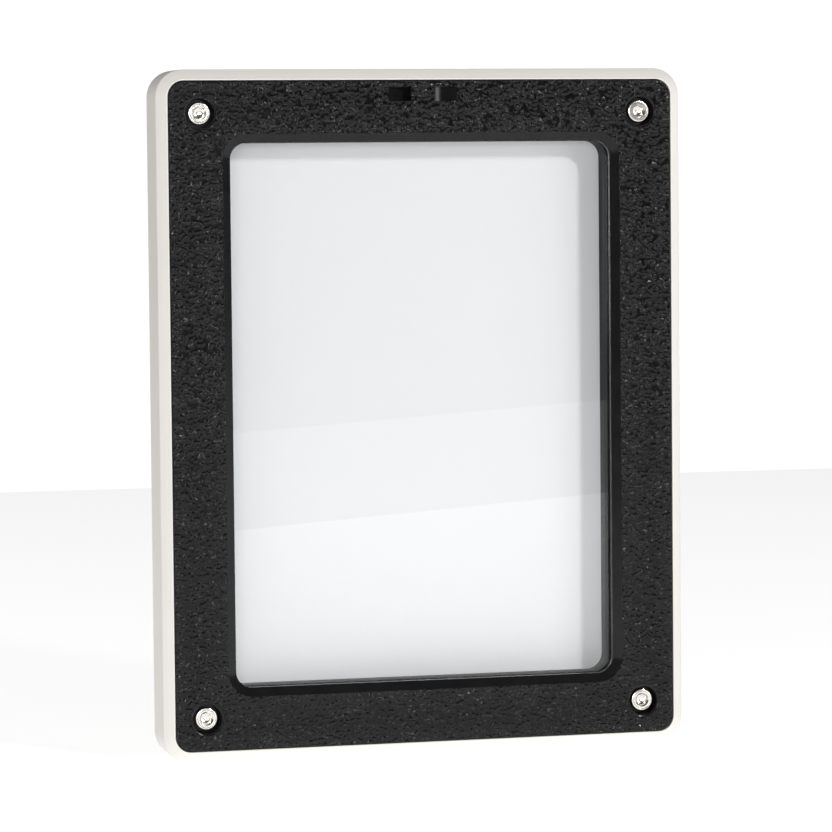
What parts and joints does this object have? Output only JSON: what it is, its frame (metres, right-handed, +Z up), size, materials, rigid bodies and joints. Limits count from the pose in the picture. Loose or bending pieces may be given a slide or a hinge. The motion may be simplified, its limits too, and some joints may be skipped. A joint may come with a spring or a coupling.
{
  "type": "security display frame",
  "caption": "Shallow portrait display frame: white casing, screw-on black textured bezel with bevelled window, clear pane and white backing, for a shop wall or counter.",
  "frame": {"origin": "middle of the lower edge that the case stands on, halfway through its depth", "axes": "+Z up along the height, -Y out of the window, +X to the right seen from the front"},
  "size_m": [0.2, 0.021, 0.254],
  "materials": {
    "white_casing": "cream-white, satin, very fine grain",
    "white_panel": "neutral white, matt",
    "grey_foam": "closed-cell foam sheet",
    "black_rubber": "matt closed-cell strip",
    "black_textured": "black, pebbled grain on the front face, smooth machined bevel and recesses",
    "clear_pane": "clear polycarbonate, polished",
    "black_smooth": "black, smooth satin",
    "zinc_steel": "bright zinc plate",
    "brass": "turned, knurled",
    "black_nylon": "black nylon",
    "polished_steel": "polished stainless steel"
  },
  "bodies": {
    "housing": {"rear_tray": "white_casing", "backing_panel": "white_panel", "backing_pad": "grey_foam", "perimeter_gasket": "black_rubber", "threaded_insert_tl": "brass", "threaded_insert_tr": "brass", "threaded_insert_bl": "brass", "threaded_insert_br": "brass"},
    "cover": {"front_bezel": "black_textured", "pane_seal": "black_rubber", "clear_pane": "clear_pane", "well_frame": "black_smooth", "clamp_screws": "zinc_steel"},
    "washer_tl": {"captive_washer_tl": "black_nylon"},
    "screw_tl": {"corner_screw_tl": "polished_steel"},
    "washer_tr": {"captive_washer_tr": "black_nylon"},
    "screw_tr": {"corner_screw_tr": "polished_steel"},
    "washer_bl": {"captive_washer_bl": "black_nylon"},
    "screw_bl": {"corner_screw_bl": "polished_steel"},
    "washer_br": {"captive_washer_br": "black_nylon"},
    "screw_br": {"corner_screw_br": "polished_steel"}
  },
  "joints": [
    {"name": "cover_lift_off", "type": "slide", "parent": "housing", "child": "cover", "axis": [0, -1, 0], "range_m": [0, 0.045]},
    {"name": "screw_tl_travel", "type": "slide", "parent": "cover", "child": "washer_tl", "axis": [0, -1, 0], "range_m": [0, 0.0064]},
    {"name": "screw_tl_turn", "type": "hinge", "parent": "washer_tl", "child": "screw_tl", "pos_m": [-0.084, -0.0087, 0.238], "axis": [0, -1, 0], "range_deg": [0, 2880.5]},
    {"name": "screw_tr_travel", "type": "slide", "parent": "cover", "child": "washer_tr", "axis": [0, -1, 0], "range_m": [0, 0.0064]},
    {"name": "screw_tr_turn", "type": "hinge", "parent": "washer_tr", "child": "screw_tr", "pos_m": [0.084, -0.0087, 0.238], "axis": [0, -1, 0], "range_deg": [0, 2880.5]},
    {"name": "screw_bl_travel", "type": "slide", "parent": "cover", "child": "washer_bl", "axis": [0, -1, 0], "range_m": [0, 0.0064]},
    {"name": "screw_bl_turn", "type": "hinge", "parent": "washer_bl", "child": "screw_bl", "pos_m": [-0.084, -0.0087, 0.016], "axis": [0, -1, 0], "range_deg": [0, 2880.5]},
    {"name": "screw_br_travel", "type": "slide", "parent": "cover", "child": "washer_br", "axis": [0, -1, 0], "range_m": [0, 0.0064]},
    {"name": "screw_br_turn", "type": "hinge", "parent": "washer_br", "child": "screw_br", "pos_m": [0.084, -0.0087, 0.016], "axis": [0, -1, 0], "range_deg": [0, 2880.5]}
  ],
  "couplings": [
    {"joint": "screw_tl_turn", "follows": "screw_tl_travel", "rad_per_m": 7854},
    {"joint": "screw_tr_turn", "follows": "screw_tr_travel", "rad_per_m": 7854},
    {"joint": "screw_bl_turn", "follows": "screw_bl_travel", "rad_per_m": 7854},
    {"joint": "screw_br_turn", "follows": "screw_br_travel", "rad_per_m": 7854}
  ]
}
